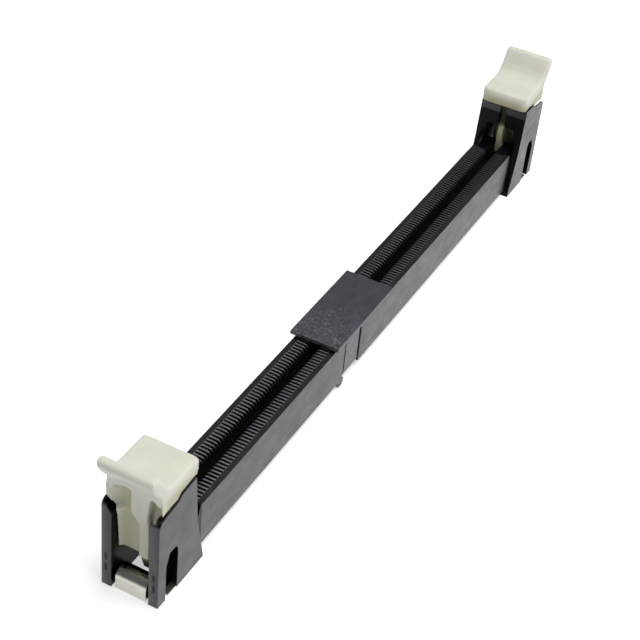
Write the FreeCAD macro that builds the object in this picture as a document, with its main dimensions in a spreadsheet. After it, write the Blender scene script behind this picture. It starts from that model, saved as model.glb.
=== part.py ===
import FreeCAD, Part
import math
import os
import Sketcher

# Card edge connector with two contact rows, a pivoting latch at each end,
# a clip-on cap and a metal hold-down under each tower.
# Frame: X along the length, -Y is the front wall, Z up, board plane at z = 0.
# Places in the towers are measured inward from the outer end, so both ends
# share one set of sizes. All sizes are in millimetres.

V = FreeCAD.Vector
os.makedirs("parts", exist_ok=True)
doc = FreeCAD.newDocument("card_edge_connector")

# %% driving sizes
SIZES = {
    # contact rows
    "pitch": 0.85,
    "short_bank": 67,
    "long_bank": 77,
    "key_pitches": 7,
    "end_allowance": 14.675,
    "bank_margin": 0.775,
    # rail, slot and contact cavities
    "rail_width": 8.5,
    "rail_top": 10.7,
    "rail_bottom": 1.5,
    "wall": 1.05,
    "slot_width": 1.6,
    "slot_floor": 3.0,
    "key_rib": 2.2,
    "cavity_width": 0.5,
    # tower outline, from the outer end inward
    "tower_width": 10.6,
    "post_top": 18.4,
    "post_round": 1.3,
    "step_in": 5.6,
    "step_length": 0.6,
    "top_rise": 0.9,
    "step_rise": 0.65,
    "crown_in": 10.4,
    "crown_rise": 0.35,
    "waist_in": 11.3,
    "waist_drop": 0.7,
    "flare_round": 3.8,
    "toe_in": 13.6,
    "notch_in": 12.2,
    "notch_z": 6.0,
    # latch well and sill
    "post_gap": 7.0,
    "well_in": 9.0,
    "groove_foot_in": 12.0,
    "sill_in": 4.8,
    "sill_top": 1.4,
    "block_in": 2.4,
    "block_top": 3.2,
    "block_gap": 0.7,
    "funnel_in": 6.6,
    "funnel_lip": 0.25,
    "funnel_foot": 16.1,
    "funnel_mid": 17.5,
    "funnel_mid_half": 4.45,
    "funnel_half": 5.0,
    "window_top": 15.2,
    # side recesses
    "recess_in": 5.6,
    "recess_out": 2.2,
    "recess_top": 9.9,
    "recess_cut": 1.0,
    "recess_slant": 2.2,
    "recess_depth": 1.2,
    # pivot
    "pivot_in": 3.9,
    "pivot_z": 11.6,
    "pin_radius": 1.2,
    "pin_clearance": 0.05,
    "pin_length": 0.85,
    # latch
    "latch_side_gap": 0.12,
    "stem_clearance": 0.35,
    "blade_clearance": 0.2,
    "pad_clearance": 0.35,
    "pad_overhang": 0.97,
    "pad_top": 23.2,
    "pad_lip": 20.3,
    "pad_round": 1.2,
    "bend_in": 3.2,
    "bend_z": 23.6,
    "tip_out": 1.35,
    "tip_z": 28.82,
    "tip_low_out": 2.05,
    "tip_low_z": 27.75,
    "neck_in": 0.9,
    "neck_z": 23.3,
    "face_in": 2.5,
    "shoulder_gap": 0.3,
    "stem_in": 5.7,
    "stem_low": 7.7,
    "tip_cut": 0.4,
    "rib_in": 1.7,
    "rib_left": 1.1,
    "rib_right": 2.8,
    "rib_foot_left": -0.45,
    "rib_foot_right": 2.3,
    "rib_bend_z": 15.2,
    "rib_bend_rise": 1.8,
    "wing_in": 0.9,
    "wing_gauge": 0.7,
    "wing_low": 19.45,
    "wing_slant": 1.5,
    "wing_root": 0.2,
    "blade_in": 10.7,
    "blade_high": 15.0,
    "blade_low": 8.0,
    "toe_top": 3.4,
    "toe_low": 2.0,
    # hold-down
    "sheet_gauge": 0.4,
    "bend_round": 1.7,
    "seat_gap": 0.1,
    "base_in": 5.4,
    "tab_length": 2.3,
    "tab_side_gap": 0.07,
    "plate_side_gap": 0.63,
    # cap, placed from the key
    "cap_before_key": 14.15,
    "cap_after_key": 8.35,
    "cap_overhang": 0.75,
    "cap_standoff": 0.7,
    "cap_gauge": 0.7,
    "cap_rib_gauge": 0.9,
    "leg_before_key": 8.95,
    "leg_length": 5.8,
    "leg_left_gap": 0.5,
    "leg_right_gap": 0.3,
    "leg_gauge": 0.45,
    "leg_clearance": 0.03,
    "leg_drop": 8.1,
    "clip_depth": 0.5,
    "catch_depth": 0.35,
    "catch_rise": 0.6,
    "catch_height": 1.0,
    "hook_reach": 0.25,
    "hook_play": 0.15,
    # standoff foot under the rail
    "foot_before_key": 9.85,
    "foot_length": 2.0,
    "foot_gauge": 0.8,
    # contacts
    "contact_width": 0.4,
    "contact_gap": 0.25,
    "tail_width": 0.45,
    "preload": 0.18,
    "bow_z": 7.4,
    "tip_lean": 0.53,
    "contact_top": 8.9,
}

# what follows from the driving sizes
DERIVED = {
    "short_count": "round(short_bank)",
    "long_count": "round(long_bank)",
    "row_half": "(short_count + long_count + key_pitches - 2) * pitch / 2",
    "half_length": "row_half + end_allowance",
    "key_x": "(short_count - 1 + key_pitches / 2) * pitch - row_half",
    "cavity_reach": "rail_width - 2 * wall",
    "bank_half": "row_half + bank_margin",
    "step_low": "post_top + top_rise",
    "step_high": "step_low + step_rise",
    "crown_z": "step_high + crown_rise",
    "waist_lean": "(waist_in - crown_in) * waist_drop / (crown_z - rail_top + waist_drop)",
    "above": "crown_z + 1",
    "below": "-1",
    "latch_half": "tower_width / 2 - latch_side_gap",
    "stem_half": "post_gap / 2 - stem_clearance",
    "blade_half": "slot_width / 2 - blade_clearance",
    "shoulder_z": "step_low + shoulder_gap",
    "tab_top": "sheet_gauge + seat_gap",
    "plate_face": "block_gap - seat_gap",
    "plate_half": "post_gap / 2 - plate_side_gap",
    "tongue_top": "block_top + seat_gap + sheet_gauge",
    "leg_left": "key_x - leg_before_key",
    "leg_right": "leg_left + leg_length",
    "leg_low": "rail_top - leg_drop",
    "clip_face": "rail_width / 2 - clip_depth",
    "catch_low": "leg_low + catch_rise",
    "catch_high": "catch_low + catch_height",
    "cap_low": "rail_top + cap_standoff",
    "cap_left": "key_x - cap_before_key",
    "cap_right": "key_x + cap_after_key",
    "foot_left": "key_x - foot_before_key - foot_length / 2",
    "foot_right": "foot_left + foot_length",
    "bow_y": "slot_width / 2 - preload",
    "tail_outer": "cavity_reach / 2 - contact_gap",
}

sheet = doc.addObject("Spreadsheet::Sheet", "Sizes")
for line, (alias, value) in enumerate(SIZES.items(), 1):
    sheet.set("A%d" % line, str(value))
    sheet.setAlias("A%d" % line, alias)
doc.recompute()


# %% helpers
def bound(text):
    """A size expression with its derived names opened up and its cells named on the sheet."""
    out = []
    word = ""
    for letter in text + " ":
        if letter.isalnum() or letter in "_.":
            word += letter
            continue
        if word in DERIVED:
            word = "(%s)" % bound(DERIVED[word])
        elif word in SIZES:
            word = "Sizes." + word
        out.append(word + letter)
        word = ""
    return "".join(out).strip()


def number(text):
    """The value that a size expression has now."""
    return float(sheet.evalExpression(bound(text).replace("Sizes.", "")))


def end(inward, side=1):
    """X of a place that lies this far in from the outer end on the given side."""
    return "%s(half_length - (%s))" % ("-" if side < 0 else "", inward)


def plane(body, role):
    return [f for f in body.Origin.OriginFeatures if f.Role == role][0]


def new_body(name):
    body = doc.addObject("PartDesign::Body", name)
    body.Label = name
    doc.recompute()
    return body


def new_sketch(body, name, role, offset=None):
    sketch = body.newObject("Sketcher::SketchObject", name)
    sketch.AttachmentSupport = (plane(body, role), [""])
    sketch.MapMode = "FlatFace"
    if offset:
        sketch.setExpression("AttachmentOffset.Base.z", bound(offset))
    return sketch


def pin_down(sketch, kind, element, point, text):
    """A distance from the origin, bound to the sheet."""
    index = sketch.addConstraint(Sketcher.Constraint(kind, -1, 1, element, point, number(text)))
    sketch.setExpression("Constraints[%d]" % index, bound(text))


def outline(body, name, role, loops, offset=None):
    """Sketch of closed polygons whose corners are all bound to the sheet."""
    sketch = new_sketch(body, name, role, offset)
    for loop in loops:
        start = sketch.GeometryCount
        count = len(loop)
        corners = [V(number(a), number(b), 0) for a, b in loop]
        for i in range(count):
            sketch.addGeometry(Part.LineSegment(corners[i], corners[(i + 1) % count]))
        for i in range(count):
            following = start + (i + 1) % count
            sketch.addConstraint(Sketcher.Constraint("Coincident", start + i, 2, following, 1))
        for i, (a, b) in enumerate(loop):
            pin_down(sketch, "DistanceX", start + i, 1, a)
            pin_down(sketch, "DistanceY", start + i, 1, b)
    return sketch


def circle(body, name, across, up, radius):
    sketch = new_sketch(body, name, "XZ_Plane")
    sketch.addGeometry(Part.Circle(V(number(across), number(up), 0), V(0, 0, 1), number(radius)))
    pin_down(sketch, "DistanceX", 0, 3, across)
    pin_down(sketch, "DistanceY", 0, 3, up)
    index = sketch.addConstraint(Sketcher.Constraint("Radius", 0, number(radius)))
    sketch.setExpression("Constraints[%d]" % index, bound(radius))
    return sketch


def solid(body, kind, name, profile, length, both=True, back=False):
    """A Pad or Pocket, to both sides of its sketch or to one."""
    feature = body.newObject("PartDesign::" + kind, name)
    feature.Profile = profile
    feature.setExpression("Length", bound(length))
    if both:
        feature.SideType = "Symmetric"
    feature.Reversed = back
    return feature


def block(left, right, low, high):
    """Corners of an upright rectangle."""
    return [(left, low), (right, low), (right, high), (left, high)]


def ends(points, side):
    """Corners given as distance in from the end, and height."""
    return [(end(inward, side), height) for inward, height in points]


def mirrored(points):
    """A half outline, given right of the middle from its foot up, closed to both sides."""
    return points + [("-(%s)" % a, b) for a, b in reversed(points)]


def edges_near(shape, places, along):
    """Edges that run along one axis through one of the places, given as (x, z)."""
    names = []
    for i, edge in enumerate(shape.Edges):
        a, b = [v.Point for v in edge.Vertexes[:2]] if len(edge.Vertexes) > 1 else (V(), V())
        run = b - a
        if run.Length < 0.5 or abs(getattr(run, along)) < 0.99 * run.Length:
            continue
        middle = (a + b) * 0.5
        for x, z in places:
            if abs(middle.x - x) < 0.01 and abs(middle.z - z) < 0.01:
                names.append("Edge%d" % (i + 1))
    return names


def ease_edges(body, name, places, length, kind="Fillet", along="y"):
    """Rounds or cuts the edges at these places."""
    base = body.Tip
    feature = body.newObject("PartDesign::" + kind, name)
    feature.Base = (base, edges_near(base.Shape, places, along))
    feature.setExpression("Radius" if kind == "Fillet" else "Size", bound(length))
    doc.recompute()


SIDES = ((-1, "left"), (1, "right"))
FACES = (("front", ""), ("rear", "-"))

# %% housing
housing = new_body("housing")
rail_end = end("crown_in")
rail = outline(housing, "rail_outline", "XZ_Plane",
               [block("-" + rail_end, rail_end, "rail_bottom", "rail_top")])
solid(housing, "Pad", "rail", rail, "rail_width")

TOWER = [("0", "0"), ("0", "post_top"), ("step_in", "step_low"), ("step_in + step_length", "step_high"),
         ("crown_in", "crown_z"), ("waist_in", "rail_top - waist_drop"), ("toe_in", "0")]
for side, word in SIDES:
    tower = outline(housing, "tower_outline_" + word, "XZ_Plane", [ends(TOWER, side)])
    solid(housing, "Pad", "tower_" + word, tower, "tower_width")

doc.recompute()
post_corners = [(number(end("0", side)), number("post_top")) for side, word in SIDES]
ease_edges(housing, "post_rounding", post_corners, "post_round")

waists = [(number(end("waist_in - waist_lean", side)), number("rail_top")) for side, word in SIDES]
ease_edges(housing, "wall_flare", waists, "flare_round")

# V notches between the front wall and the towers
for side, word in SIDES:
    reach = "-bank_half" if side < 0 else "bank_half"
    corners = [(reach, "window_top"), (reach, "rail_top")]
    corners += ends([("notch_in", "notch_z"), ("waist_in", "rail_top - waist_drop"),
                     ("waist_in - waist_lean", "rail_top"), ("waist_in - waist_lean", "window_top")], side)
    notch = outline(housing, "notch_outline_" + word, "XZ_Plane", [corners], "rail_width / 2")
    solid(housing, "Pocket", "notch_" + word, notch, "wall", False)

# card slot with the key rib, running out into the latch wells
floors = []
for side, word in SIDES:
    key_side = "(key_x %s key_rib / 2)" % ("-" if side < 0 else "+")
    corners = ends([("well_in", "above"), ("well_in", "below"), ("groove_foot_in", "below"),
                    ("groove_foot_in", "slot_floor")], side)
    floors.append(corners + [(key_side, "slot_floor"), (key_side, "above")])
slot = outline(housing, "slot_outline", "XZ_Plane", floors)
solid(housing, "Pocket", "slot", slot, "slot_width")

# latch wells with their sills, pivot sockets and slanted post edges
WELL = [("well_in", "below"), ("-1", "below"), ("-1", "above"), ("well_in", "above")]
SILL = [("sill_in", "tab_top"), ("block_gap", "tab_top"), ("block_gap", "block_top"),
        ("block_in", "block_top"), ("block_in", "sill_top"), ("sill_in", "sill_top")]
FUNNEL = [("post_gap / 2", "funnel_foot"), ("funnel_mid_half", "funnel_mid"),
          ("funnel_half", "post_top"), ("funnel_half", "above")]
UNDERPASS = [("well_in - 1", "below"), ("well_in - 1", "rail_bottom"), ("toe_in + 1", "rail_bottom"),
             ("toe_in + 1", "below")]
WINDOW = [("well_in - 1", "rail_top"), ("well_in - 1", "window_top"), ("end_allowance", "window_top"),
          ("end_allowance", "rail_top")]
PASSAGE = [("recess_in", "below"), ("recess_in - tab_length - 2 * seat_gap", "below"),
           ("recess_in - tab_length - 2 * seat_gap", "tab_top"), ("recess_in", "tab_top")]
for side, word in SIDES:
    well = outline(housing, "well_outline_" + word, "XZ_Plane", [ends(WELL, side), ends(SILL, side)])
    solid(housing, "Pocket", "well_" + word, well, "post_gap")
    socket = circle(housing, "socket_outline_" + word, end("pivot_in", side), "pivot_z",
                    "pin_radius + pin_clearance")
    solid(housing, "Pocket", "socket_" + word, socket, "post_gap + 2 * (pin_length + pin_clearance)")
    away = end("funnel_lip") if side > 0 else end("funnel_in", side)
    funnel = outline(housing, "funnel_outline_" + word, "YZ_Plane", [mirrored(FUNNEL)], away)
    solid(housing, "Pocket", "funnel_" + word, funnel, "funnel_in - funnel_lip", False)
    window = outline(housing, "window_outline_" + word, "XZ_Plane", [ends(WINDOW, side)])
    solid(housing, "Pocket", "window_" + word, window, "cavity_reach")
    underpass = outline(housing, "underpass_outline_" + word, "XZ_Plane", [ends(UNDERPASS, side)])
    solid(housing, "Pocket", "underpass_" + word, underpass, "post_gap")
    passage = outline(housing, "passage_outline_" + word, "XZ_Plane", [ends(PASSAGE, side)])
    solid(housing, "Pocket", "passage_" + word, passage, "tower_width + 1")

doc.recompute()
block_corners = [(number(end("block_gap", side)), number("block_top")) for side, word in SIDES]
ease_edges(housing, "block_cut", block_corners, "(2 - sqrt(2)) * (bend_round - sheet_gauge - seat_gap)", "Chamfer")

# tapering recesses in the tower sides
RECESS = [("recess_in", "below"), ("recess_out", "below"), ("recess_out", "recess_top - recess_slant"),
          ("recess_out + recess_cut", "recess_top"), ("recess_in - recess_cut / 2", "recess_top"),
          ("recess_in", "recess_top - recess_cut")]
for side, word in SIDES:
    for face, sign in FACES:
        arch = outline(housing, "recess_outline_%s_%s" % (word, face), "XZ_Plane", [ends(RECESS, side)],
                       sign + "tower_width / 2")
        solid(housing, "Pocket", "recess_%s_%s" % (word, face), arch, "recess_depth", False, sign == "-")

# recesses for the cap's clip legs with their catch pockets, and standoff feet
for face, sign in FACES:
    clip = outline(housing, "clip_outline_" + face, "XZ_Plane", [block(
        "leg_left - leg_left_gap", "leg_right + leg_right_gap", "below", "rail_top + 1")],
        sign + "rail_width / 2")
    solid(housing, "Pocket", "clip_recess_" + face, clip, "clip_depth", False, sign == "-")
    catch = outline(housing, "catch_outline_" + face, "XZ_Plane", [block(
        "leg_left", "leg_right", "catch_low", "catch_high")], sign + "clip_face")
    solid(housing, "Pocket", "catch_" + face, catch, "catch_depth", False, sign == "-")
    foot = outline(housing, "foot_outline_" + face, "XZ_Plane", [[
        ("foot_left", "rail_bottom + 0.1"), ("foot_left", "rail_bottom / 3"),
        ("foot_left + rail_bottom / 3", "0"), ("foot_right - rail_bottom / 3", "0"),
        ("foot_right", "rail_bottom / 3"), ("foot_right", "rail_bottom + 0.1")]],
        sign + "(rail_width / 2 - foot_gauge)")
    solid(housing, "Pad", "foot_" + face, foot, "foot_gauge", False, sign == "-")
doc.recompute()

# contact cavities, open through the underside
BANKS = (("short", "-row_half", "short_count"),
         ("long", "(short_count - 1 + key_pitches) * pitch - row_half", "long_count"))
for word, first, count in BANKS:
    cell = outline(housing, "cavity_outline_" + word, "XZ_Plane", [block(
        first + " - cavity_width / 2", first + " + cavity_width / 2", "rail_bottom - 1", "rail_top + 1")])
    pocket = solid(housing, "Pocket", "cavity_" + word, cell, "cavity_reach")
    pattern = housing.newObject("PartDesign::LinearPattern", "cavities_" + word)
    pattern.Originals = [pocket]
    pattern.Direction = (plane(housing, "X_Axis"), [""])
    pattern.setExpression("Length", bound("(%s - 1) * pitch" % count))
    pattern.setExpression("Occurrences", bound(count))
    housing.Tip = pattern
doc.recompute()


# %% latches
def latch(name, side):
    """One ejector latch. The same moulding serves both ends, turned half a turn."""
    body = new_body(name)
    left = "-" if side > 0 else ""
    right = "" if side > 0 else "-"
    stem = outline(body, "stem_outline", "XZ_Plane", [ends([
        ("face_in", "shoulder_z + 1"), ("face_in", "stem_low"), ("stem_in", "stem_low"),
        ("stem_in", "shoulder_z + 1")], side)])
    solid(body, "Pad", "stem", stem, "2 * stem_half")
    head = outline(body, "head_outline", "XZ_Plane", [ends([
        ("crown_in + pad_overhang", "pad_top"), ("bend_in", "bend_z"), ("-tip_out", "tip_z"),
        ("-tip_low_out", "tip_low_z"), ("neck_in", "neck_z"), ("face_in", "neck_z - 1"),
        ("face_in", "shoulder_z"), ("step_in", "shoulder_z"),
        ("step_in + step_length", "step_high + pad_clearance"),
        ("crown_in - 0.1", "crown_z + pad_clearance"), ("crown_in + 0.3", "pad_lip"),
        ("crown_in + pad_overhang", "pad_lip")], side)])
    solid(body, "Pad", "head", head, "2 * latch_half")
    away = end("face_in", side) if side > 0 else end("stem_in", side)
    shoulder = outline(body, "shoulder_outline", "YZ_Plane", [mirrored([
        ("stem_half", "funnel_foot + shoulder_gap"), ("funnel_mid_half - shoulder_gap", "funnel_mid + 0.4"),
        ("funnel_half - shoulder_gap", "shoulder_z - 0.6"), ("funnel_half", "shoulder_z + 0.1")])], away)
    solid(body, "Pad", "shoulder", shoulder, "stem_in - face_in", False, True)
    pins = circle(body, "pin_outline", end("pivot_in", side), "pivot_z", "pin_radius")
    solid(body, "Pad", "pins", pins, "post_gap + 2 * pin_length")
    blade = outline(body, "blade_outline", "XZ_Plane", [ends([
        ("face_in + 0.6", "blade_high + 1"), ("stem_in", "blade_high + 1"), ("blade_in - 0.6", "blade_high"),
        ("blade_in", "blade_high - 1"), ("blade_in", "blade_low + 0.6"), ("blade_in - 0.6", "blade_low"),
        ("stem_in + 1", "blade_low - 1"), ("stem_in + 0.8", "toe_top"), ("blade_in - 0.1", "toe_top"),
        ("blade_in - 0.1", "toe_low"), ("stem_in - 0.8", "toe_low"), ("face_in + 0.6", "stem_low")], side)])
    solid(body, "Pad", "blade", blade, "2 * blade_half")
    away = end("rib_in", side) if side > 0 else end("face_in + 0.2", side)
    rib = outline(body, "rib_outline", "YZ_Plane", [[
        (left + "rib_left", "neck_z"), (left + "rib_left", "rib_bend_z + rib_bend_rise"),
        (left + "(rib_foot_left)", "rib_bend_z"), (left + "(rib_foot_left)", "stem_low"),
        (right + "rib_foot_right", "stem_low"), (right + "rib_foot_right", "rib_bend_z + 3"),
        (right + "rib_right", "neck_z")]], away)
    solid(body, "Pad", "rib", rib, "face_in + 0.2 - rib_in", False, True)
    for face, sign in FACES:
        wing = outline(body, "wing_outline_" + face, "XZ_Plane", [ends([
            ("wing_in", "neck_z"), ("wing_in", "wing_low + wing_slant"), ("face_in", "wing_low"),
            ("face_in + wing_root", "wing_low"), ("face_in + wing_root", "neck_z")], side)],
            sign + "(latch_half - wing_gauge)")
        solid(body, "Pad", "wing_" + face, wing, "wing_gauge", False, sign == "")
    doc.recompute()
    inner_edge = [(number(end("crown_in + pad_overhang", side)), number("pad_top"))]
    ease_edges(body, "pad_rounding", inner_edge, "pad_round")
    tip_edges = [(number(end("-tip_out", side)), number("tip_z")),
                 (number(end("-tip_low_out", side)), number("tip_low_z"))]
    ease_edges(body, "tip_cut", tip_edges, "tip_cut", "Chamfer")
    return body


latches = [latch("latch_" + word, side) for side, word in SIDES]


# %% hold-downs
def hold_down(name, side):
    """A bent strip: base under the sill, plate up the front, tongue over the block."""
    body = new_body(name)
    strip = outline(body, "strip_outline", "XZ_Plane", [ends([
        ("base_in", "0"), ("plate_face - sheet_gauge", "0"), ("plate_face - sheet_gauge", "tongue_top"),
        ("block_in", "tongue_top"), ("block_in", "tongue_top - sheet_gauge"),
        ("plate_face", "tongue_top - sheet_gauge"), ("plate_face", "sheet_gauge"),
        ("base_in", "sheet_gauge")], side)])
    solid(body, "Pad", "strip", strip, "2 * plate_half")
    tabs = outline(body, "tab_outline", "XZ_Plane", [ends([
        ("base_in", "0"), ("base_in - tab_length", "0"), ("base_in - tab_length", "sheet_gauge"),
        ("base_in", "sheet_gauge")], side)])
    solid(body, "Pad", "tabs", tabs, "tower_width - 2 * tab_side_gap")
    doc.recompute()
    inner_bend = [(number(end("plate_face", side)), number("tongue_top - sheet_gauge"))]
    ease_edges(body, "inner_cut", inner_bend, "(2 - sqrt(2)) * (bend_round - sheet_gauge)", "Chamfer")
    outer_bend = [(number(end("plate_face - sheet_gauge", side)), number("tongue_top"))]
    ease_edges(body, "outer_rounding", outer_bend, "bend_round")
    return body


hold_downs = [hold_down("hold_down_" + word, side) for side, word in SIDES]

# %% cap
cap = new_body("cap")
plate = outline(cap, "plate_outline", "XZ_Plane", [block("cap_left", "cap_right", "cap_low", "cap_low + cap_gauge")])
solid(cap, "Pad", "plate", plate, "rail_width + 2 * cap_overhang")
for face, sign in FACES:
    seat = outline(cap, "seat_outline_" + face, "XZ_Plane", [block(
        "cap_left + 0.6", "cap_right - 0.6", "rail_top", "cap_low + 0.1")], sign + "(rail_width / 2 - 0.05)")
    solid(cap, "Pad", "seat_rib_" + face, seat, "cap_rib_gauge", False, sign == "")
    leg = outline(cap, "leg_outline_" + face, "XZ_Plane", [block(
        "leg_left", "leg_right", "leg_low", "cap_low + 0.1")], sign + "(clip_face + leg_clearance)")
    solid(cap, "Pad", "leg_" + face, leg, "leg_gauge", False, sign == "-")
    hook = outline(cap, "hook_outline_" + face, "XZ_Plane", [block(
        "leg_left + 0.4", "leg_right - 0.4", "catch_low + hook_play", "catch_high - hook_play")],
        sign + "(clip_face + leg_clearance + 0.1)")
    solid(cap, "Pad", "hook_" + face, hook, "hook_reach + leg_clearance + 0.1", False, sign == "")
doc.recompute()

# %% contacts, one group of separate springs per node
pitch = number("pitch")
contact_half = number("contact_width / 2")
PROFILE = [(number(y), number(z)) for y, z in (
    ("tail_outer", "0"), ("tail_outer - tail_width", "0"), ("bow_y", "bow_z"),
    ("bow_y + tip_lean", "contact_top"))]


def contact(x, side):
    corners = [V(x - contact_half, side * y, z) for y, z in PROFILE]
    face = Part.Face(Part.makePolygon(corners + corners[:1]))
    return face.extrude(V(2 * contact_half, 0, 0))


def contact_group(name, start, count, side):
    item = doc.addObject("Part::Feature", name)
    item.Label = name
    item.Shape = Part.makeCompound([contact(start + i * pitch, side) for i in range(count)])
    return item


GROUP_SIZE = 17
groups = []
for face, side in (("front", -1), ("rear", 1)):
    for word, first, bank in BANKS:
        total = int(number(bank))
        shares = math.ceil(total / GROUP_SIZE)
        cuts = [round(total * share / shares) for share in range(shares + 1)]
        for low, high in zip(cuts, cuts[1:]):
            name = "contacts_%s_%d" % (face, len(groups) % 9 + 1)
            groups.append(contact_group(name, number(first) + low * pitch, high - low, side))
doc.recompute()

# %% checks and export
for obj in doc.Objects:
    if "Invalid" in obj.State or "Error" in obj.State:
        raise RuntimeError("not built: " + obj.Name)
for item in [housing, cap] + latches + hold_downs + groups:
    if item.Shape.isNull() or not item.Shape.isValid():
        raise RuntimeError("bad shape: " + item.Label)
    item.Shape.exportStep("parts/%s.step" % item.Label)
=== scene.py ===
# %% [markdown]
# A long card edge connector: a black moulded rail with two rows of springs,
# a tower with an off-white latch at each end, and a thin clip-on cap near the
# middle. The imported solids give every place and size, so the first cell loads
# them and keeps them in place.

# %% load the frame
import bmesh
import bpy
import math
from mathutils import Matrix, Vector


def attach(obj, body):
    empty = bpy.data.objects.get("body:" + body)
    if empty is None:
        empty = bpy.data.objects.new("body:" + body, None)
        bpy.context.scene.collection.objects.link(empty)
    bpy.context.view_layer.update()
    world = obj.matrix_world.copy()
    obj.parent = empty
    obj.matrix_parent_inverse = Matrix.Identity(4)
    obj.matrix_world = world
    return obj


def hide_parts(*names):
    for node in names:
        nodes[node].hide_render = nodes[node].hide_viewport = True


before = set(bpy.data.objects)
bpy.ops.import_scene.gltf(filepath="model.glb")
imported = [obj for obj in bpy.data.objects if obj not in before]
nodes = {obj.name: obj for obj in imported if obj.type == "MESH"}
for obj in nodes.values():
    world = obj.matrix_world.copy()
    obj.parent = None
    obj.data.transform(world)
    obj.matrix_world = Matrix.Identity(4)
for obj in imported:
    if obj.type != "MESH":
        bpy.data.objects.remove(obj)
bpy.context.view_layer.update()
MM = 0.001

# %% [markdown]
# Colours are written as sRGB hex values, the way a colour picker shows them,
# and one function turns them to the linear values that the shader wants. One
# small function adds a node with its settings and links, so that each
# material below reads from top to bottom.

# %% colour and node helpers


def linear(hex_colour):
    """An sRGB hex colour as linear RGBA."""
    out = []
    for i in (1, 3, 5):
        part = int(hex_colour[i:i + 2], 16) / 255
        out.append(part / 12.92 if part <= 0.04045 else ((part + 0.055) / 1.055) ** 2.4)
    return (*out, 1.0)


def add_node(tree, kind, settings=None, **links):
    """Adds a node. Each link is socket=value or socket=(node, "output")."""
    node = tree.nodes.new(kind)
    for key, value in (settings or {}).items():
        setattr(node, key, value)
    for key, value in links.items():
        socket = node.inputs[int(key[1:])] if key[1:].isdigit() else node.inputs[key.replace("_", " ")]
        if isinstance(value, tuple) and hasattr(value[0], "outputs"):
            tree.links.new(value[0].outputs[value[1]], socket)
        else:
            socket.default_value = value
    return node


def new_material(name):
    """An empty material with its output, ready for a shader."""
    material = bpy.data.materials.new(name)
    material.use_nodes = True
    tree = material.node_tree
    tree.nodes.clear()
    out = tree.nodes.new("ShaderNodeOutputMaterial")
    return material, tree, out


def two_tone(tree, factor, dark, light):
    """Mixes two hex colours by a factor link."""
    return add_node(tree, "ShaderNodeMix", {"data_type": "RGBA"}, _0=factor, _6=linear(dark),
                    _7=linear(light))


print("colour and node helpers ready")

# %% [markdown]
# Some colours depend on the place on a piece: the painted highlight on the rib
# tops, the painted shade on the faces inside the towers, the flow marks at the
# left end of the cap. Small functions turn a place into a factor from 0 to 1,
# and factors are multiplied where several hold at once.

# %% factors by place


def times(tree, *factors):
    """The product of two or more factors."""
    product = factors[0]
    for factor in factors[1:]:
        node = add_node(tree, "ShaderNodeMath", {"operation": "MULTIPLY"}, _0=product, _1=factor)
        product = (node, "Value")
    return product


def ramp(tree, value, start, end):
    """Goes smoothly from 0 at the start to 1 at the end, both in mm."""
    node = add_node(tree, "ShaderNodeMapRange", {"interpolation_type": "SMOOTHSTEP"}, Value=value,
                    From_Min=start * MM, From_Max=end * MM)
    return (node, "Result")


def distances(tree, place):
    """The place along X, up Z, and off the middle in X and in Y."""
    parts = add_node(tree, "ShaderNodeSeparateXYZ", Vector=(place, "Object"))
    from_middle = add_node(tree, "ShaderNodeMath", {"operation": "ABSOLUTE"}, _0=(parts, "X"))
    off_line = add_node(tree, "ShaderNodeMath", {"operation": "ABSOLUTE"}, _0=(parts, "Y"))
    return (parts, "X"), (parts, "Z"), (from_middle, "Value"), (off_line, "Value")


def tower_inside_shade(tree, place):
    """1 on the faces between a tower's walls, which get painted shade, 0 elsewhere."""
    _, up, from_middle, off_line = distances(tree, place)
    between_walls = ramp(tree, off_line, 5.25, 5.15)
    behind_posts = ramp(tree, from_middle, 77.95, 77.7)
    in_tower = ramp(tree, from_middle, 63.6, 63.8)
    below_top = ramp(tree, up, 18.35, 18.2)
    return times(tree, between_walls, behind_posts, in_tower, below_top)


print("factors by place ready")

# %% [markdown]
# The rail, the towers and the cap are glass-filled nylon, moulded in black.
# The glass lies just under the skin, so the surface is satin and slightly
# mottled, and it shows flow marks a few millimetres long. Soft clouds drive
# both the tone and the roughness, and a fine grain drives the bump. The
# grain is drawn at 0.15 mm, coarser than the real one, so that it shows.
# The faces inside the towers get nearly no sheen, as painted shade.

# %% black glass-filled nylon


def filled_nylon(name, dark, light, roughness, flow_mm, bump, marks):
    """Black nylon. Marks is a function that changes its tone by the place."""
    material, tree, out = new_material(name)
    place = add_node(tree, "ShaderNodeTexCoord")
    stretch = add_node(tree, "ShaderNodeMapping", Vector=(place, "Object"), Scale=(0.45, 1.0, 1.0))
    flow = add_node(tree, "ShaderNodeTexNoise", Vector=(stretch, "Vector"), Scale=1 / (flow_mm * MM),
                    Detail=4.0, Roughness=0.6, Distortion=0.6)
    tone = marks(tree, place, two_tone(tree, (flow, "Fac"), dark, light))
    grain = add_node(tree, "ShaderNodeTexNoise", Vector=(place, "Object"), Scale=1 / (0.15 * MM), Detail=2.0,
                     Roughness=0.6)
    polish = add_node(tree, "ShaderNodeMapRange", Value=(flow, "Fac"), From_Min=0.3, From_Max=0.7,
                      To_Min=roughness - 0.07, To_Max=roughness + 0.08)
    skin = add_node(tree, "ShaderNodeBump", Strength=bump, Distance=0.02 * MM, Height=(grain, "Fac"))
    waves = add_node(tree, "ShaderNodeBump", Strength=0.25, Distance=0.05 * MM, Height=(flow, "Fac"),
                     Normal=(skin, "Normal"))
    # Painted shade: the sheen is turned down inside the towers.
    sheen = add_node(tree, "ShaderNodeMapRange", Value=tower_inside_shade(tree, place), To_Min=0.5, To_Max=0.1)
    shader = add_node(tree, "ShaderNodeBsdfPrincipled", Base_Color=(tone, 2), Roughness=(polish, "Result"),
                      Normal=(waves, "Normal"), IOR=1.52, Specular_IOR_Level=(sheen, "Result"))
    tree.links.new(shader.outputs["BSDF"], out.inputs["Surface"])
    return material


print("black nylon ready to be made")
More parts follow.
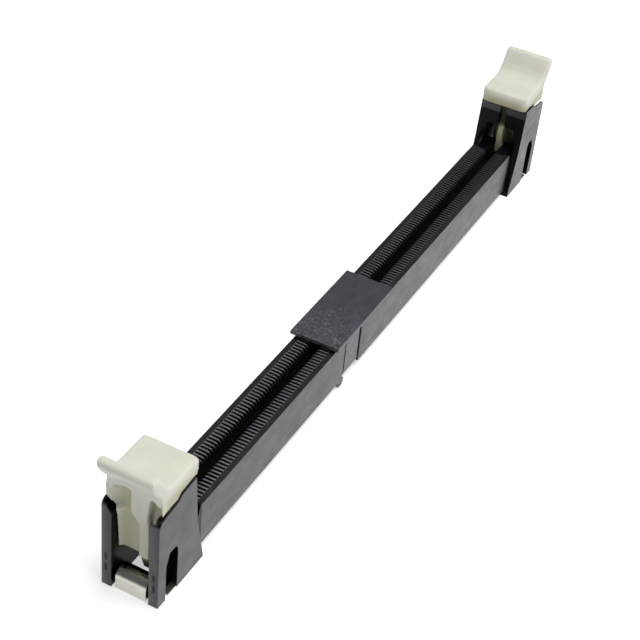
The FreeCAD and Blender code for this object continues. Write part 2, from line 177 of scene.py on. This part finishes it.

# %% [markdown]
# The rib tops are painted lighter as a highlight, which fades towards the
# right end, and the faces inside the towers are painted near-black as shade.
# The cap was filled from its left end, where the flow left short curled
# smears; their lighter tone is painted highlight.

# %% painted highlight, painted shade and flow marks in the black nylon


def rib_highlight_and_tower_shade(tree, place, tone):
    """Painted highlight on the thin rib tops, fading towards the right end, and near-black painted shade on
    the tower insides.
    """
    along, up, from_middle, off_line = distances(tree, place)
    past_shoulder = ramp(tree, off_line, 0.95, 1.75)
    before_wall = ramp(tree, off_line, 3.24, 3.2)
    near_top = ramp(tree, up, 10.4, 10.62)
    in_row = ramp(tree, from_middle, 63.5, 63.4)
    # The painted highlight fades from the left end to the right end.
    highlight_fade = add_node(tree, "ShaderNodeMapRange", Value=along, From_Min=-70 * MM, From_Max=50 * MM,
                    To_Min=1.0, To_Max=0.2)
    painted_highlight = times(tree, past_shoulder, before_wall, near_top, in_row, (highlight_fade, "Result"))
    # Painted highlight: the rib tops are mixed towards #77797D.
    highlit_ribs = add_node(tree, "ShaderNodeMix", {"data_type": "RGBA"}, _0=painted_highlight, _6=(tone, 2),
                          _7=linear("#77797D"))
    # Painted shade: the faces inside the towers are mixed to near-black #08080A.
    return add_node(tree, "ShaderNodeMix", {"data_type": "RGBA"}, _0=tower_inside_shade(tree, place),
                    _6=(highlit_ribs, 2), _7=linear("#08080A"))


def flow_marks_and_highlight(tree, place, tone):
    """Short curled smears, thickest where the mould was filled, at the left end of the cap, painted lighter
    as a highlight.
    """
    curls = add_node(tree, "ShaderNodeTexNoise", Vector=(place, "Object"), Scale=1 / (1.6 * MM), Detail=3.0,
                     Roughness=0.55, Distortion=2.2)
    level = add_node(tree, "ShaderNodeMath", {"operation": "SUBTRACT"}, _0=(curls, "Fac"), _1=0.5)
    ridge = add_node(tree, "ShaderNodeMath", {"operation": "ABSOLUTE"}, _0=(level, "Value"))
    lines = add_node(tree, "ShaderNodeMapRange", {"interpolation_type": "SMOOTHSTEP"},
                     Value=(ridge, "Value"), From_Min=0.03, From_Max=0.0)
    along = distances(tree, place)[0]
    near_gate = add_node(tree, "ShaderNodeMapRange", Value=along, From_Min=-16 * MM, From_Max=-4 * MM,
                         To_Min=0.55, To_Max=0.08)
    smears_and_highlight = times(tree, (lines, "Result"), (near_gate, "Result"))
    # The flow marks are real; their lighter tone #9A9CA0 is painted highlight.
    return add_node(tree, "ShaderNodeMix", {"data_type": "RGBA"}, _0=smears_and_highlight, _6=(tone, 2),
                    _7=linear("#9A9CA0"))


# The housing gets a painted highlight on its rib tops and painted shade inside its towers.
housing_black = filled_nylon("glass_filled_nylon_black", "#18191E", "#23242A", 0.36, 2.2, 0.3, rib_highlight_and_tower_shade)
# The cap's flow marks are painted lighter as a highlight.
cap_black = filled_nylon("cap_nylon_black", "#34373D", "#484C53", 0.38, 1.5, 0.4, flow_marks_and_highlight)
print("black nylon ready", housing_black.name, cap_black.name)

# %% [markdown]
# The latches are unfilled nylon in its natural off-white. Light goes a little
# way into it and comes out warmer, so its edges look soft. Subsurface
# scattering gives the softness, with the red going deepest. The hollows get
# an olive painted shade, laid in by the depth behind the latch's front.

# %% natural nylon latch material


def natural_nylon(name, dark, light, hollow_shade):
    """Off-white nylon with a third tone painted into its hollows as shade."""
    material, tree, out = new_material(name)
    place = add_node(tree, "ShaderNodeTexCoord")
    cloud = add_node(tree, "ShaderNodeTexNoise", Vector=(place, "Object"), Scale=1 / (3.0 * MM), Detail=3.0,
                     Roughness=0.5)
    tone = two_tone(tree, (cloud, "Fac"), dark, light)
    _, up, from_middle, _ = distances(tree, place)
    # Painted shade: olive by the depth behind the front, below the head.
    depth = add_node(tree, "ShaderNodeMapRange", Value=from_middle, From_Min=77.0 * MM,
                     From_Max=75.2 * MM, To_Max=0.75)
    below_head = add_node(tree, "ShaderNodeMapRange", Value=up, From_Min=22.8 * MM, From_Max=21.2 * MM)
    inside = times(tree, (depth, "Result"), (below_head, "Result"))
    body = add_node(tree, "ShaderNodeMix", {"data_type": "RGBA"}, _0=inside, _6=(tone, 2),
                    _7=linear(hollow_shade))
    grain = add_node(tree, "ShaderNodeTexNoise", Vector=(place, "Object"), Scale=1 / (0.25 * MM), Detail=2.0,
                     Roughness=0.5)
    polish = add_node(tree, "ShaderNodeMapRange", Value=(cloud, "Fac"), To_Min=0.34, To_Max=0.48)
    skin = add_node(tree, "ShaderNodeBump", Strength=0.15, Distance=0.02 * MM, Height=(grain, "Fac"))
    shader = add_node(tree, "ShaderNodeBsdfPrincipled", Base_Color=(body, 2), Roughness=(polish, "Result"),
                      Normal=(skin, "Normal"), IOR=1.53, Subsurface_Weight=0.6,
                      Subsurface_Scale=1.0 * MM)
    shader.inputs["Subsurface Radius"].default_value = (1.0, 0.85, 0.55)
    tree.links.new(shader.outputs["BSDF"], out.inputs["Surface"])
    return material


# B9B286 is the olive painted shade in the hollows.
latch_white = natural_nylon("natural_nylon", "#DEDDCF", "#E9E9DD", "#B9B286")
print("latch nylon ready", latch_white.name)

# %% [markdown]
# The hold-downs are stamped from brass strip and plated with matt tin, which
# looks like soft grey silver with short rolling streaks. The springs are a
# copper alloy with a thin gold flash, seen only as dim glints in their
# cavities.

# %% plated metal


def plated(name, dark, light, roughness, streak_mm, bump):
    """Metal with short streaks in its tone, its polish and its relief."""
    material, tree, out = new_material(name)
    place = add_node(tree, "ShaderNodeTexCoord")
    stretch = add_node(tree, "ShaderNodeMapping", Vector=(place, "Object"), Scale=(1.0, 0.2, 1.0))
    streaks = add_node(tree, "ShaderNodeTexNoise", Vector=(stretch, "Vector"), Scale=1 / (streak_mm * MM),
                       Detail=3.0, Roughness=0.6)
    tone = two_tone(tree, (streaks, "Fac"), dark, light)
    polish = add_node(tree, "ShaderNodeMapRange", Value=(streaks, "Fac"), To_Min=roughness - 0.06,
                      To_Max=roughness + 0.08)
    relief = add_node(tree, "ShaderNodeBump", Strength=bump, Distance=0.02 * MM, Height=(streaks, "Fac"))
    shader = add_node(tree, "ShaderNodeBsdfPrincipled", Base_Color=(tone, 2), Roughness=(polish, "Result"),
                      Normal=(relief, "Normal"), Metallic=1.0)
    tree.links.new(shader.outputs["BSDF"], out.inputs["Surface"])
    return material


dull_tin = plated("matt_tin_plate", "#BDBAB1", "#DEDBD4", 0.3, 0.5, 0.25)
spring_alloy = plated("gold_flashed_spring", "#6F6858", "#948A72", 0.35, 0.2, 0.1)
print("metals ready", dull_tin.name, spring_alloy.name)

# %% [markdown]
# Every carried-over solid gets its material in its own slots. The springs
# stay as they are, and the pieces made below stand for the other solids.

# %% dress the solids
FINISH = {"housing": housing_black, "cap": cap_black, "latch_left": latch_white,
          "latch_right": latch_white, "hold_down_left": dull_tin, "hold_down_right": dull_tin}
for name, obj in nodes.items():
    material = FINISH.get(name, spring_alloy)
    if not obj.material_slots:
        obj.data.materials.append(material)
    for slot in obj.material_slots:
        slot.material = material
print("dressed", len(nodes), "solids")

# %% [markdown]
# A moulded piece differs from its solid mostly at its edges: plastic fills a
# mould's corners with small radii, and those radii catch the light. So each
# piece starts as a merged copy of its solid, and its flat faces are joined up
# again.

# %% merged copies


def only(obj):
    """Makes this the one selected and active object."""
    bpy.ops.object.select_all(action="DESELECT")
    obj.select_set(True)
    bpy.context.view_layer.objects.active = obj


def merged_copy(node, name):
    """A copy of a solid with its loose triangles joined into whole faces."""
    obj = nodes[node].copy()
    obj.data = nodes[node].data.copy()
    obj.name = name
    obj.data.name = name
    bpy.context.scene.collection.objects.link(obj)
    place = nodes[node].matrix_world.copy()
    obj.parent = None
    obj.matrix_world = place
    only(obj)
    bpy.ops.object.transform_apply(location=True, rotation=True, scale=True)
    bpy.ops.object.mode_set(mode="EDIT")
    bpy.ops.mesh.select_all(action="SELECT")
    bpy.ops.mesh.remove_doubles(threshold=0.002 * MM)
    bpy.ops.mesh.dissolve_limited(angle_limit=math.radians(0.5))
    bpy.ops.mesh.select_all(action="DESELECT")
    bpy.ops.object.mode_set(mode="OBJECT")
    return obj


print("merged copies ready to be made")

# %% [markdown]
# Edges are picked in code by their place and rounded with a given radius.
# What remains sharp gets a small radius from a modifier.

# %% rounded edges


def bevel_where(obj, test, width, steps):
    """Rounds the edges whose two ends pass a test on their places in mm."""
    only(obj)
    bpy.ops.object.mode_set(mode="EDIT")
    bpy.ops.mesh.select_mode(type="EDGE")
    bpy.ops.mesh.select_all(action="DESELECT")
    mesh = bmesh.from_edit_mesh(obj.data)
    count = 0
    for edge in mesh.edges:
        a, b = [v.co / MM for v in edge.verts]
        if test(a, b):
            edge.select = True
            count += 1
    mesh.select_flush_mode()
    bmesh.update_edit_mesh(obj.data)
    if count:
        bpy.ops.mesh.bevel(offset=width * MM, segments=steps, profile=0.5, affect="EDGES")
    bpy.ops.mesh.select_all(action="DESELECT")
    bpy.ops.object.mode_set(mode="OBJECT")
    print(obj.name, "rounded", count, "edges")


def use_modifier(obj, kind, **settings):
    """Adds a modifier and applies it at once."""
    only(obj)
    modifier = obj.modifiers.new(kind.lower(), kind)
    for key, value in settings.items():
        setattr(modifier, key, value)
    bpy.ops.object.modifier_apply(modifier=modifier.name)


def soften(obj, width, steps=2, angle=30):
    """Small radii on every sharp edge, with flat faces kept flat in their shading."""
    use_modifier(obj, "BEVEL", width=width * MM, segments=steps, limit_method="ANGLE",
                 angle_limit=math.radians(angle), use_clamp_overlap=True)
    bpy.ops.object.shade_smooth_by_angle(angle=math.radians(50))
    use_modifier(obj, "WEIGHTED_NORMAL", keep_sharp=True)


def near(value, target, gap=0.02):
    """True where two measures in mm agree."""
    return abs(value - target) < gap


print("edge helpers ready")

# %% [markdown]
# Pieces are joined and cut by other bodies, and a finished piece is put on
# its body, with the solid that it stands for hidden.

# %% joining, cutting and handing over


def join(first, others):
    """Puts other objects into the first one."""
    only(first)
    for obj in others:
        obj.select_set(True)
    if others:
        bpy.ops.object.join()
    return first


def cut(obj, cutters):
    """Cuts one piece by others, which are used up."""
    cutter = join(cutters[0], cutters[1:])
    use_modifier(obj, "BOOLEAN", object=cutter, operation="DIFFERENCE", solver="EXACT")
    bpy.data.objects.remove(cutter)


def hand_over(obj, node, body):
    """Puts a piece on its body and hides the solid that it stands for."""
    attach(obj, body)
    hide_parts(node)
    print(obj.name, "faces", len(obj.data.polygons))


print("joining helpers ready")

# %% [markdown]
# Cutters and added forms start as two simple bodies, whose places are given
# in mm. One is a stretched ball, and the other a prism that is pushed out
# from a flat outline.

# %% ball and prism


def stretched_ball(place, radii, segments, rings):
    """A ball with its own radius in each direction."""
    bpy.ops.object.select_all(action="DESELECT")
    bpy.ops.mesh.primitive_uv_sphere_add(segments=segments, ring_count=rings, radius=1.0,
                                         location=[part * MM for part in place])
    ball = bpy.context.object
    ball.scale = [radius * MM for radius in radii]
    bpy.ops.object.transform_apply(location=True, rotation=True, scale=True)
    return ball


def prism(name, corners, step):
    """A bar whose end has the given corners, pushed out by a step."""
    bpy.ops.object.select_all(action="DESELECT")
    bpy.ops.mesh.primitive_circle_add(vertices=len(corners), radius=1.0, fill_type="NGON")
    bar = bpy.context.object
    bar.name = name
    for vertex, corner in zip(bar.data.vertices, corners):
        vertex.co = Vector(corner) * MM
    bpy.ops.object.mode_set(mode="EDIT")
    bpy.ops.mesh.select_all(action="SELECT")
    bpy.ops.mesh.extrude_region_move(TRANSFORM_OT_translate={"value": [part * MM for part in step]})
    bpy.ops.mesh.select_all(action="SELECT")
    bpy.ops.mesh.normals_make_consistent(inside=False)
    bpy.ops.object.mode_set(mode="OBJECT")
    return bar


print("ball and prism ready")

# %% [markdown]
# The housing's ribs end in a round shoulder that leads the card into the
# slot. That edge is picked by its place: at the rib tops and at half the slot
# width. The rib tops' long edges are then rounded a little.

# %% housing ribs
RAIL_TOP = 10.7
SLOT_HALF = 0.8
CAVITY_REACH = 3.2
ROW_END = 63.4
RIB_SHOULDER = 0.8
RIB_EDGE = 0.12
housing_piece = merged_copy("housing", "housing_moulding")


def slot_edge(a, b):
    """The ribs' top edges along the slot."""
    return all(near(v.z, RAIL_TOP) and near(abs(v.y), SLOT_HALF) for v in (a, b))


def rib_edge(a, b):
    """The two long edges of a rib's top, with the shoulder's curve."""
    lowest = RAIL_TOP - RIB_SHOULDER - 0.02
    inside = all(v.z > lowest and abs(v.y) < CAVITY_REACH + 0.1 for v in (a, b))
    return inside and near(a.x, b.x) and abs(a.x) < ROW_END and (a - b).length > 0.05


bevel_where(housing_piece, slot_edge, RIB_SHOULDER, 4)
bevel_where(housing_piece, rib_edge, RIB_EDGE, 3)

# %% [markdown]
# A pocket in each tower's side looks black, because it is deep for its
# width. Its back face is found by its place and pushed in.

# %% deeper pockets
POCKET_BACK = 4.1
POCKET_ENDS = (72.0, 76.5)
POCKET_TOP = 9.9
POCKET_PUSH = 0.42


def push_pockets(side):
    """Pushes in the back faces of the two pockets on one side of the housing."""
    only(housing_piece)
    bpy.ops.object.mode_set(mode="EDIT")
    bpy.ops.mesh.select_mode(type="FACE")
    bpy.ops.mesh.select_all(action="DESELECT")
    mesh = bmesh.from_edit_mesh(housing_piece.data)
    found = 0
    for face in mesh.faces:
        place = face.calc_center_median() / MM
        along = POCKET_ENDS[0] < abs(place.x) < POCKET_ENDS[1] and place.z < POCKET_TOP
        if along and near(place.y, side * POCKET_BACK) and face.normal.y * side > 0.9:
            face.select = True
            found += 1
    bmesh.update_edit_mesh(housing_piece.data)
    if found:
        push = (0, -side * POCKET_PUSH * MM, 0)
        bpy.ops.mesh.extrude_region_move(TRANSFORM_OT_translate={"value": push})
    bpy.ops.mesh.select_all(action="DESELECT")
    bpy.ops.object.mode_set(mode="OBJECT")
    print("pocket faces", found)


for side in (-1, 1):
    push_pockets(side)

# %% [markdown]
# Each latch has a cheek that reaches to the post's outer face. The tower's
# funnel is open there, so that the cheek can swing out. A prism in the
# funnel's outline cuts it free. Small radii on all edges come after it.

# %% funnel ends
HALF_LENGTH = 78.0
CUT_INSIDE = 0.5
CUT_LENGTH = 0.8
HOUSING_EDGE = 0.06
FUNNEL_SIDE = [(3.3, 16.15), (3.5, 16.15), (4.45, 17.7), (5.0, 18.45), (5.0, 19.5), (3.3, 19.5)]


def funnel_end(end):
    """The cutter for one end. Its outline is in (off the middle, height)."""
    corners = [(end * (HALF_LENGTH - CUT_INSIDE), -end * y, z) for y, z in FUNNEL_SIDE]
    return prism("funnel_end", corners, (end * CUT_LENGTH, 0, 0))


for end in (-1, 1):
    cut(housing_piece, [funnel_end(end)])
soften(housing_piece, HOUSING_EDGE, 2, 40)
print("housing faces", len(housing_piece.data.polygons))

# %% [markdown]
# The post fronts carry two shallow oval marks each, left by the mould's
# pins. They are cut with small stretched balls.

# %% pin marks on the posts
MARK_OFF_MIDDLE = 4.45
MARK_DEPTH = 0.22
MARK_HALF_WIDTH = 0.26
MARKS = ((4.2, 1.9), (6.5, 1.8))
marks = [stretched_ball((end * HALF_LENGTH, side * MARK_OFF_MIDDLE, height),
                        (MARK_DEPTH, MARK_HALF_WIDTH, length / 2), 20, 12)
         for end in (-1, 1) for side in (-1, 1) for height, length in MARKS]
cut(housing_piece, marks)
hand_over(housing_piece, "housing", "socket")

# %% [markdown]
# The cap is a thin moulding, so its rim is rounder for its size than the
# housing's edges. The right side of its leg is drawn in by half a
# millimetre, which leaves the wide, dark gap that such a clip has.

# %% cap
LEG_RIGHT_ENDS = (-8.2, -7.0)
LEG_PULL = 0.5
CAP_EDGE = 0.14
cap_piece = merged_copy("cap", "cap_moulding")


def move_where(obj, test, step):
    """Moves the vertices whose places in mm pass a test."""
    only(obj)
    bpy.ops.object.mode_set(mode="EDIT")
    bpy.ops.mesh.select_mode(type="VERT")
    bpy.ops.mesh.select_all(action="DESELECT")
    mesh = bmesh.from_edit_mesh(obj.data)
    count = 0
    for vertex in mesh.verts:
        if test(vertex.co / MM):
            vertex.select = True
            count += 1
    mesh.select_flush_mode()
    bmesh.update_edit_mesh(obj.data)
    if count:
        bpy.ops.transform.translate(value=[part * MM for part in step])
    bpy.ops.mesh.select_all(action="DESELECT")
    bpy.ops.object.mode_set(mode="OBJECT")
    print(obj.name, "moved", count)


def leg_right_side(place):
    """The right sides of the cap's two legs."""
    return LEG_RIGHT_ENDS[0] < place.x < LEG_RIGHT_ENDS[1] and place.z < 11.5 and abs(place.y) > 4.0


move_where(cap_piece, leg_right_side, (-LEG_PULL, 0, 0))
soften(cap_piece, CAP_EDGE, 3)
hand_over(cap_piece, "cap", "socket")

# %% [markdown]
# The latches are soft, rounded mouldings. The copy of the solid brings the
# stem, the blade and the pins. The head is a bar across it, with a thumb pad
# that dips in the middle and a tab that ends in a full round. The pad's
# upright corners have the largest radius.

# %% latch head
PAD_INNER = 66.63
PAD_CORNER = 1.1
BAR_CORNER = 1.2
HEAD_HALF = 5.12
TAB_BASE = 27.0
TAB_SHIFT = (0.45, 0, -0.55)
PAD_PROFILE = [(11.45, 20.5), (11.75, 21.0), (11.8, 22.6), (11.55, 23.4), (11.0, 23.75), (8.0, 23.7),
               (5.0, 23.6), (3.6, 23.85), (2.6, 24.5), (1.7, 25.5)]
TAB_PROFILE = [(0.07, 27.85), (-0.3, 28.22), (-0.8, 28.35), (-1.3, 28.22), (-1.67, 27.85),
               (-1.8, 27.35), (-1.67, 26.85)]
FRONT_PROFILE = [(-1.2, 25.8), (-0.4, 24.7), (0.4, 23.8), (0.85, 23.0), (0.95, 22.0), (1.4, 21.4),
                 (11.2, 21.4), (11.2, 20.6)]
left_piece = merged_copy("latch_left", "latch_left_moulding")


def pad_corner(a, b):
    """The upright inner corners of the solid's pad."""
    upright = near(a.x, b.x) and near(a.y, b.y)
    return upright and near(-a.x, PAD_INNER, 0.1) and abs(a.y) > 4.9


def bar_corner(a, b):
    """The upright inner corners of the bar, seen from above."""
    inner = all(v.x > -66.9 and v.z > 20.4 and abs(v.y) > 5 for v in (a, b))
    return inner and near(a.y, b.y)


def place_at(u, y, z):
    """A place whose first measure is taken inward from the connector's left end."""
    return (u - HALF_LENGTH, y, z)


bevel_where(left_piece, pad_corner, PAD_CORNER, 5)
move_where(left_piece, lambda place: place.z > TAB_BASE, TAB_SHIFT)

# %% [markdown]
# Below the head, a cheek on each side fills the tower's funnel, and a rib
# stands between the cheeks. They are built from blocks between outlines at
# falling heights. Their front follows the funnel's slope.

# %% cheeks and rib
CHEEK_BACK = 2.9
RIB_BACK = 2.8


def round_order(corners):
    """Four corners in their order round their middle."""
    middle = [sum(corner[i] for corner in corners) / 4 for i in (0, 1)]
    return sorted(corners, key=lambda c: math.atan2(c[1] - middle[1], c[0] - middle[0]))


def wedge(name, top, bottom):
    """A block between two faces of four corners each."""
    bpy.ops.object.select_all(action="DESELECT")
    bpy.ops.mesh.primitive_cube_add(size=1.0)
    obj = bpy.context.object
    obj.name = name
    for corners, above in ((top, True), (bottom, False)):
        level = [vertex for vertex in obj.data.vertices if (vertex.co.z > 0) == above]
        level.sort(key=lambda vertex: math.atan2(vertex.co.y, vertex.co.x))
        for corner, vertex in zip(round_order(corners), level):
            vertex.co = Vector(place_at(*corner)) * MM
    return obj


def wedges(name, levels):
    """One block between each two levels."""
    return [wedge(name, upper, lower) for upper, lower in zip(levels, levels[1:])]


def cheek_level(front, outer, inner_front, inner, z, rise=0.0):
    """A cheek's corners at one height. The front slants back, and the back may rise."""
    return [(front, outer, z), (inner_front, inner, z), (CHEEK_BACK, inner, z + rise),
            (CHEEK_BACK, outer, z + rise)]


def rib_level(front, left, right, z):
    """The rib's corners at one height."""
    return [(front, left, z), (front, right, z), (RIB_BACK, right, z), (RIB_BACK, left, z)]


open_side = [cheek_level(0.85, 5.25, 2.3, 2.9, 22.0), cheek_level(0.5, 5.1, 2.4, 2.6, 19.05, 0.6),
             cheek_level(0.55, 4.45, 2.4, 2.2, 18.38, 0.6), cheek_level(0.6, 3.35, 2.5, 1.8, 16.75, 0.8),
             cheek_level(1.2, 3.3, 2.6, 2.0, 15.0), cheek_level(1.7, 3.35, 2.6, 2.4, 7.9)]
rib_side = [cheek_level(0.85, -5.2, 2.3, -4.0, 22.0), cheek_level(0.9, -5.1, 2.6, -4.2, 18.95, 0.6)]
cheeks = wedges("cheek", open_side) + wedges("cheek", rib_side)
ribs = wedges("rib", [rib_level(0.95, 0.75, -2.75, 23.0), rib_level(1.2, 0.9, -2.45, 17.2),
                      rib_level(1.6, -0.4, -2.3, 15.0)])
print("cheek blocks", len(cheeks), "rib blocks", len(ribs))

# %% [markdown]
# A fine voxel remesh joins head, cheeks and stem into one skin. On both sides
# of the rib the moulding is hollow, deepest against the rib. Two stretched
# balls carve the hollows before the rib is put in.

# %% one skin with hollows
VOXEL = 0.12
OPEN_HOLLOW = (2.35, 3.0, 3.2)
RIB_HOLLOW = (2.2, 1.8, 2.5)
head_end = [place_at(u, -HEAD_HALF, z) for u, z in PAD_PROFILE + TAB_PROFILE + FRONT_PROFILE]
head_bar = prism("head", head_end, (0, 2 * HEAD_HALF, 0))
bevel_where(head_bar, bar_corner, BAR_CORNER, 5)
left_piece = join(left_piece, cheeks + [head_bar])
use_modifier(left_piece, "REMESH", mode="VOXEL", voxel_size=VOXEL * MM)
cut(left_piece, [stretched_ball(place_at(0.3, 1.4, 19.2), OPEN_HOLLOW, 32, 20),
                 stretched_ball(place_at(0.5, -3.1, 19.3), RIB_HOLLOW, 32, 20)])
left_piece = join(left_piece, ribs)
use_modifier(left_piece, "REMESH", mode="VOXEL", voxel_size=VOXEL * MM)
print("skin faces", len(left_piece.data.polygons))

# %% [markdown]
# The head is much rounder than the stem, so two smoothings follow: a short
# one on everything, and a long one that a vertex group keeps to the head.

# %% round the latch
HEAD_FROM = 14.5
HEAD_BLEND = 2.5
head = left_piece.vertex_groups.new(name="head")
for vertex in left_piece.data.vertices:
    weight = min(1.0, max(0.0, (vertex.co.z / MM - HEAD_FROM) / HEAD_BLEND))
    if weight > 0:
        head.add([vertex.index], weight, "REPLACE")
use_modifier(left_piece, "SMOOTH", factor=0.5, iterations=12)
use_modifier(left_piece, "SMOOTH", factor=0.5, iterations=50, vertex_group="head")
use_modifier(left_piece, "DECIMATE", ratio=0.35)
bpy.ops.object.shade_smooth()
if not left_piece.data.materials:
    left_piece.data.materials.append(latch_white)
print("latch rounded")

# %% [markdown]
# Both latches come from one mould, so the right one is the left one turned
# half round.

# %% both latches
only(left_piece)
bpy.ops.object.duplicate()
right_piece = bpy.context.object
right_piece.name = "latch_right_moulding"
right_piece.data.transform(Matrix.Rotation(math.pi, 4, "Z"))
for obj, node in ((left_piece, "latch_left"), (right_piece, "latch_right")):
    hand_over(obj, node, node + "_body")

# %% [markdown]
# The hold-downs are stamped strips, so their edges have only small radii.
# The top of the roll has a small round hole and a short slit beside it. Both
# are cut by upright punches.

# %% hold-downs
ROLL_TOP = 3.2
HOLE_IN = 2.0
SLIT_IN = 2.25
STRIP_EDGE = 0.05


def punch(x, y, radius, stretch):
    """An upright punch with its own stretch along X and along Y."""
    bpy.ops.object.select_all(action="DESELECT")
    bpy.ops.mesh.primitive_cylinder_add(vertices=20, radius=radius * MM, depth=3 * MM,
                                        location=(x * MM, y * MM, ROLL_TOP * MM))
    tool = bpy.context.object
    tool.scale = (*stretch, 1.0)
    bpy.ops.object.transform_apply(location=True, rotation=True, scale=True)
    return tool


for node, end in (("hold_down_left", -1), ("hold_down_right", 1)):
    strip = merged_copy(node, node + "_strip")
    soften(strip, STRIP_EDGE, 2, 40)
    cut(strip, [punch(end * (HALF_LENGTH - HOLE_IN), -end * 2.2, 0.28, (1.0, 1.0)),
                punch(end * (HALF_LENGTH - SLIT_IN), end * 0.85, 0.5, (0.25, 1.5))])
    hand_over(strip, node, "socket")

# %% [markdown]
# The set starts with a pale floor. It is lifted to white for the camera, for
# reflections and for what shows through, so the lift itself adds no light.

# %% floor
FLOOR_LIFT = 0.55
bpy.ops.object.select_all(action="DESELECT")
bpy.ops.mesh.primitive_plane_add(size=6.0, location=(0, 0, -0.00005))
floor = bpy.context.object
floor.name = "floor"


def seen_directly(tree):
    """1 for camera, glossy and transmission rays, 0 for the light that falls on things."""
    ray = add_node(tree, "ShaderNodeLightPath")
    camera_or_glossy = add_node(tree, "ShaderNodeMath", {"operation": "MAXIMUM"},
                                _0=(ray, "Is Camera Ray"), _1=(ray, "Is Glossy Ray"))
    return add_node(tree, "ShaderNodeMath", {"operation": "MAXIMUM"},
                    _0=(camera_or_glossy, "Value"), _1=(ray, "Is Transmission Ray"))


paper, paper_tree, paper_out = new_material("white_paper")
lift = times(paper_tree, (seen_directly(paper_tree), "Value"), FLOOR_LIFT)
sheet = add_node(paper_tree, "ShaderNodeBsdfPrincipled", Base_Color=linear("#F0F0F0"), Roughness=0.9,
                 Emission_Color=(1, 1, 1, 1), Emission_Strength=lift)
paper_tree.links.new(sheet.outputs["BSDF"], paper_out.inputs["Surface"])
floor.data.materials.append(paper)
print("floor ready", floor.name)

# %% [markdown]
# The world is a dim room. A pale wall low down all round lights the upright
# faces, and a pale patch of ceiling gives the top faces their sheen.

# %% world
CEILING_TOWARD = (0.2, -0.25, 0.947)
world = bpy.data.worlds.new("studio")
bpy.context.scene.world = world
world.use_nodes = True
room = world.node_tree
room.nodes.clear()
room_out = add_node(room, "ShaderNodeOutputWorld")
view = add_node(room, "ShaderNodeTexCoord")
height = add_node(room, "ShaderNodeSeparateXYZ", Vector=(view, "Generated"))
wall = add_node(room, "ShaderNodeMapRange", Value=(height, "Z"), From_Min=0.02, From_Max=0.14,
                To_Min=1.0, To_Max=0.12)
toward = add_node(room, "ShaderNodeVectorMath", {"operation": "DOT_PRODUCT"}, _0=(view, "Generated"),
                  _1=CEILING_TOWARD)
ceiling = add_node(room, "ShaderNodeMapRange", Value=(toward, "Value"), From_Min=0.86, From_Max=0.96,
                   To_Max=1.5)
level = add_node(room, "ShaderNodeMath", {"operation": "ADD"}, _0=(wall, "Result"), _1=(ceiling, "Result"))
sky = add_node(room, "ShaderNodeBackground", Color=(1, 1, 1, 1), Strength=(level, "Value"))
room.links.new(sky.outputs["Background"], room_out.inputs["Surface"])
print("world ready", world.name)

# %% [markdown]
# Two soft lamps give the shapes: a large one overhead, a little to the front,
# and a weaker one from the front left.

# %% lamps


def lamp(name, place, target, size, power):
    """A square soft lamp that faces the target."""
    data = bpy.data.lights.new(name, "AREA")
    data.size = size
    data.energy = power
    obj = bpy.data.objects.new(name, data)
    bpy.context.scene.collection.objects.link(obj)
    away = Vector(place) - Vector(target)
    obj.matrix_world = Matrix.Translation(place) @ away.to_track_quat("Z", "Y").to_matrix().to_4x4()
    return obj


lamp("top_lamp", (0.0, -0.12, 0.62), (0, 0, 0), 0.35, 2.3)
lamp("front_lamp", (-0.1, -0.6, 0.3), (0, 0, 0.01), 0.4, 0.4)
print("lamps ready")

# %% [markdown]
# The camera stands where the photograph was taken from: to the left of the
# connector and above it, with a long lens. Its axes are three unit vectors.

# %% camera
RIGHT = Vector((0.4730468, -0.8770978, 0.0832232))
DOWN = Vector((-0.5126402, -0.3508398, -0.7836526))
AHEAD = Vector((0.7165380, 0.3280408, -0.6155993))
EYE = Vector((-217.696, -91.713, 187.958)) * MM
PHOTO_WIDTH = 640
FOCAL_PX = 1551.137
CENTRE_PX = (318.645, 320.986)
data = bpy.data.cameras.new("photo_camera")
data.sensor_width = 36.0
data.lens = FOCAL_PX / PHOTO_WIDTH * data.sensor_width
data.clip_start = 0.01
data.shift_x = (PHOTO_WIDTH / 2 - CENTRE_PX[0]) / PHOTO_WIDTH
data.shift_y = (CENTRE_PX[1] - PHOTO_WIDTH / 2) / PHOTO_WIDTH
camera = bpy.data.objects.new("photo_camera", data)
bpy.context.scene.collection.objects.link(camera)
turn = Matrix((RIGHT, -DOWN, -AHEAD)).transposed()
camera.matrix_world = Matrix.Translation(EYE) @ turn.to_4x4()
bpy.context.scene.camera = camera
bpy.context.scene.view_settings.view_transform = "Standard"
print("camera ready", camera.name)

# %% [markdown]
# The last cell updates the view layer.

# %% finish
bpy.context.view_layer.update()
